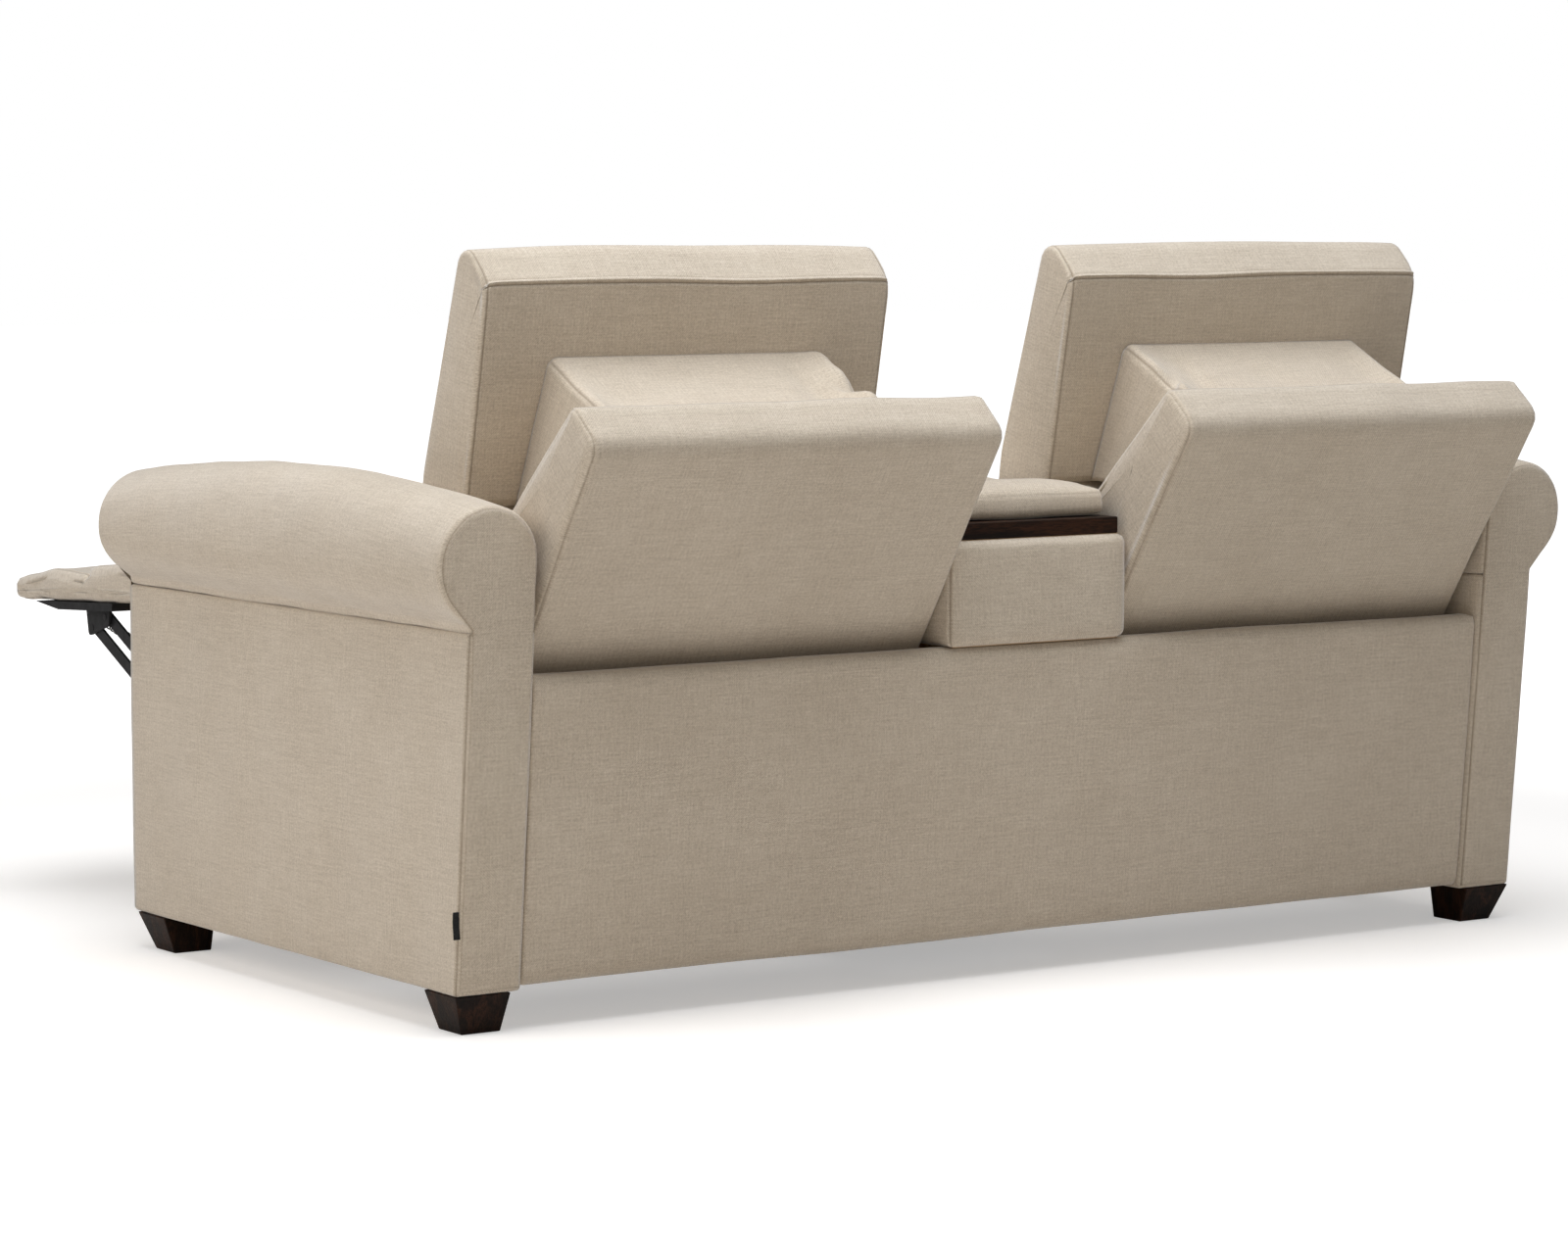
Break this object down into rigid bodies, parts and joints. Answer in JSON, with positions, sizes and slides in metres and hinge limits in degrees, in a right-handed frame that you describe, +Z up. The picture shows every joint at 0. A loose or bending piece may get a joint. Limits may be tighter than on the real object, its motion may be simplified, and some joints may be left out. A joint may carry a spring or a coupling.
{
  "type": "reclining sofa",
  "caption": "Reclining sofa with rolled upholstered arms, seats that lay back with tilting headrests and folding footrests, and a walnut-topped console arm that drops down between the seats.",
  "frame": {"origin": "on the floor under the middle of the sofa's bounding box, seats laid back and footrests open", "axes": "+X to the sitter's left, across both seats; -Y is the way a sitter faces; +Z up"},
  "size_m": [1.8316, 1.6495, 0.9674],
  "materials": {
    "fabric": "woven oatmeal tweed upholstery",
    "walnut": "dark walnut, satin lacquer",
    "timber": "raw softwood and plywood",
    "steel": "dark grey powder coat",
    "zinc": "zinc-plated wire",
    "cup_metal": "brushed",
    "board_black": "plywood painted matt black",
    "dark_plastic": "fine satin",
    "button_metal": "satin",
    "ribbon": "black woven ribbon, blank",
    "lining": "the same tweed, loose sleeve"
  },
  "bodies": {
    "base": {"base_frame": "timber", "rear_panel_cover": "fabric", "foot_blocks": "walnut", "foot_bolts": "steel", "arm_frame_left": "timber", "arm_frame_right": "timber", "arm_panel_left": "fabric", "arm_panel_right": "fabric", "arm_roll_left": "fabric", "arm_roll_right": "fabric", "seam_tag": "ribbon", "slide_rails": "steel", "switch_plates": "dark_plastic", "console_box_cover": "fabric", "console_rear_board": "walnut", "console_rear_pad": "fabric", "console_brackets": "steel", "centre_seat_pad": "fabric", "centre_front_panel": "fabric"},
    "console_arm": {"console_arm_body": "fabric", "console_tray": "walnut", "console_arm_pad": "fabric", "cup_holders": "cup_metal", "console_pins": "steel"},
    "left_seat": {"seat_frame_left": "steel", "seat_deck_left": "timber", "seat_cushion_left": "fabric"},
    "left_back": {"back_frame_left": "timber", "back_shell_left": "fabric", "back_cushion_left": "fabric"},
    "left_headrest": {"headrest_arms_left": "steel", "headrest_left": "fabric", "headrest_gusset_left": "lining"},
    "left_drive_links": {"drive_links_left": "steel"},
    "left_carry_links": {"carry_links_left": "steel"},
    "left_footrest": {"footrest_board_left": "board_black", "footrest_pad_left": "fabric", "footrest_springs_left": "zinc"},
    "left_rear_control": {"rear_control_links_left": "steel"},
    "left_front_control": {"front_control_links_left": "steel"},
    "left_open_button": {"open_button_left": "button_metal"},
    "left_close_button": {"close_button_left": "button_metal"},
    "right_seat": {"seat_frame_right": "steel", "seat_deck_right": "timber", "seat_cushion_right": "fabric"},
    "right_back": {"back_frame_right": "timber", "back_shell_right": "fabric", "back_cushion_right": "fabric"},
    "right_headrest": {"headrest_arms_right": "steel", "headrest_right": "fabric", "headrest_gusset_right": "lining"},
    "right_drive_links": {"drive_links_right": "steel"},
    "right_carry_links": {"carry_links_right": "steel"},
    "right_footrest": {"footrest_board_right": "board_black", "footrest_pad_right": "fabric", "footrest_springs_right": "zinc"},
    "right_rear_control": {"rear_control_links_right": "steel"},
    "right_front_control": {"front_control_links_right": "steel"},
    "right_open_button": {"open_button_right": "button_metal"},
    "right_close_button": {"close_button_right": "button_metal"}
  },
  "joints": [
    {"name": "console_raise", "type": "hinge", "parent": "base", "child": "console_arm", "pos_m": [0, 0.445, 0.569], "axis": [-1, 0, 0], "range_deg": [0, 90]},
    {"name": "left_recline", "type": "hinge", "parent": "left_seat", "child": "left_back", "pos_m": [0.459, 0.47, 0.4], "axis": [1, 0, 0], "range_deg": [0, 28]},
    {"name": "left_seat_slide", "type": "slide", "parent": "base", "child": "left_seat", "axis": [0, 1, 0], "range_m": [0, 0.045]},
    {"name": "left_headrest_fold", "type": "hinge", "parent": "left_back", "child": "left_headrest", "pos_m": [0.459, 0.47898, 0.606], "axis": [-1, 0, 0], "range_deg": [0, 31], "deforming": ["headrest_gusset_left"]},
    {"name": "left_footrest_fold", "type": "hinge", "parent": "left_seat", "child": "left_drive_links", "pos_m": [0.459, -0.1, 0.37], "axis": [1, 0, 0], "range_deg": [0, 87]},
    {"name": "left_carry_turn", "type": "hinge", "parent": "left_drive_links", "child": "left_carry_links", "pos_m": [0.459, -0.27972, 0.2881], "axis": [1, 0, 0], "range_deg": [-87, 0]},
    {"name": "left_footrest_turn", "type": "hinge", "parent": "left_carry_links", "child": "left_footrest", "pos_m": [0.459, -0.56506, 0.42481], "axis": [1, 0, 0], "range_deg": [0, 87], "deforming": ["footrest_springs_left"]},
    {"name": "left_rear_control_turn", "type": "hinge", "parent": "left_seat", "child": "left_rear_control", "pos_m": [0.459, -0.05942, 0.35056], "axis": [1, 0, 0], "range_deg": [0, 87]},
    {"name": "left_front_control_turn", "type": "hinge", "parent": "left_drive_links", "child": "left_front_control", "pos_m": [0.459, -0.32067, 0.26944], "axis": [1, 0, 0], "range_deg": [-87, 0]},
    {"name": "left_open_press", "type": "slide", "parent": "base", "child": "left_open_button", "axis": [1, 0, 0], "range_m": [0, 0.002], "stiffness_N_per_m": 400},
    {"name": "left_close_press", "type": "slide", "parent": "base", "child": "left_close_button", "axis": [1, 0, 0], "range_m": [0, 0.002], "stiffness_N_per_m": 400},
    {"name": "right_recline", "type": "hinge", "parent": "right_seat", "child": "right_back", "pos_m": [-0.459, 0.47, 0.4], "axis": [1, 0, 0], "range_deg": [0, 28]},
    {"name": "right_seat_slide", "type": "slide", "parent": "base", "child": "right_seat", "axis": [0, 1, 0], "range_m": [0, 0.045]},
    {"name": "right_headrest_fold", "type": "hinge", "parent": "right_back", "child": "right_headrest", "pos_m": [-0.459, 0.47898, 0.606], "axis": [-1, 0, 0], "range_deg": [0, 31], "deforming": ["headrest_gusset_right"]},
    {"name": "right_footrest_fold", "type": "hinge", "parent": "right_seat", "child": "right_drive_links", "pos_m": [-0.459, -0.1, 0.37], "axis": [1, 0, 0], "range_deg": [0, 87]},
    {"name": "right_carry_turn", "type": "hinge", "parent": "right_drive_links", "child": "right_carry_links", "pos_m": [-0.459, -0.27972, 0.2881], "axis": [1, 0, 0], "range_deg": [-87, 0]},
    {"name": "right_footrest_turn", "type": "hinge", "parent": "right_carry_links", "child": "right_footrest", "pos_m": [-0.459, -0.56506, 0.42481], "axis": [1, 0, 0], "range_deg": [0, 87], "deforming": ["footrest_springs_right"]},
    {"name": "right_rear_control_turn", "type": "hinge", "parent": "right_seat", "child": "right_rear_control", "pos_m": [-0.459, -0.05942, 0.35056], "axis": [1, 0, 0], "range_deg": [0, 87]},
    {"name": "right_front_control_turn", "type": "hinge", "parent": "right_drive_links", "child": "right_front_control", "pos_m": [-0.459, -0.32067, 0.26944], "axis": [1, 0, 0], "range_deg": [-87, 0]},
    {"name": "right_open_press", "type": "slide", "parent": "base", "child": "right_open_button", "axis": [-1, 0, 0], "range_m": [0, 0.002], "stiffness_N_per_m": 400},
    {"name": "right_close_press", "type": "slide", "parent": "base", "child": "right_close_button", "axis": [-1, 0, 0], "range_m": [0, 0.002], "stiffness_N_per_m": 400}
  ],
  "couplings": [
    {"joint": "left_seat_slide", "follows": "left_recline", "m_per_rad": 0.092073},
    {"joint": "left_carry_turn", "follows": "left_footrest_fold", "ratio": -1},
    {"joint": "left_footrest_turn", "follows": "left_footrest_fold", "ratio": 1},
    {"joint": "left_rear_control_turn", "follows": "left_footrest_fold", "ratio": 1},
    {"joint": "left_front_control_turn", "follows": "left_footrest_fold", "ratio": -1},
    {"joint": "right_seat_slide", "follows": "right_recline", "m_per_rad": 0.092073},
    {"joint": "right_carry_turn", "follows": "right_footrest_fold", "ratio": -1},
    {"joint": "right_footrest_turn", "follows": "right_footrest_fold", "ratio": 1},
    {"joint": "right_rear_control_turn", "follows": "right_footrest_fold", "ratio": 1},
    {"joint": "right_front_control_turn", "follows": "right_footrest_fold", "ratio": -1}
  ]
}
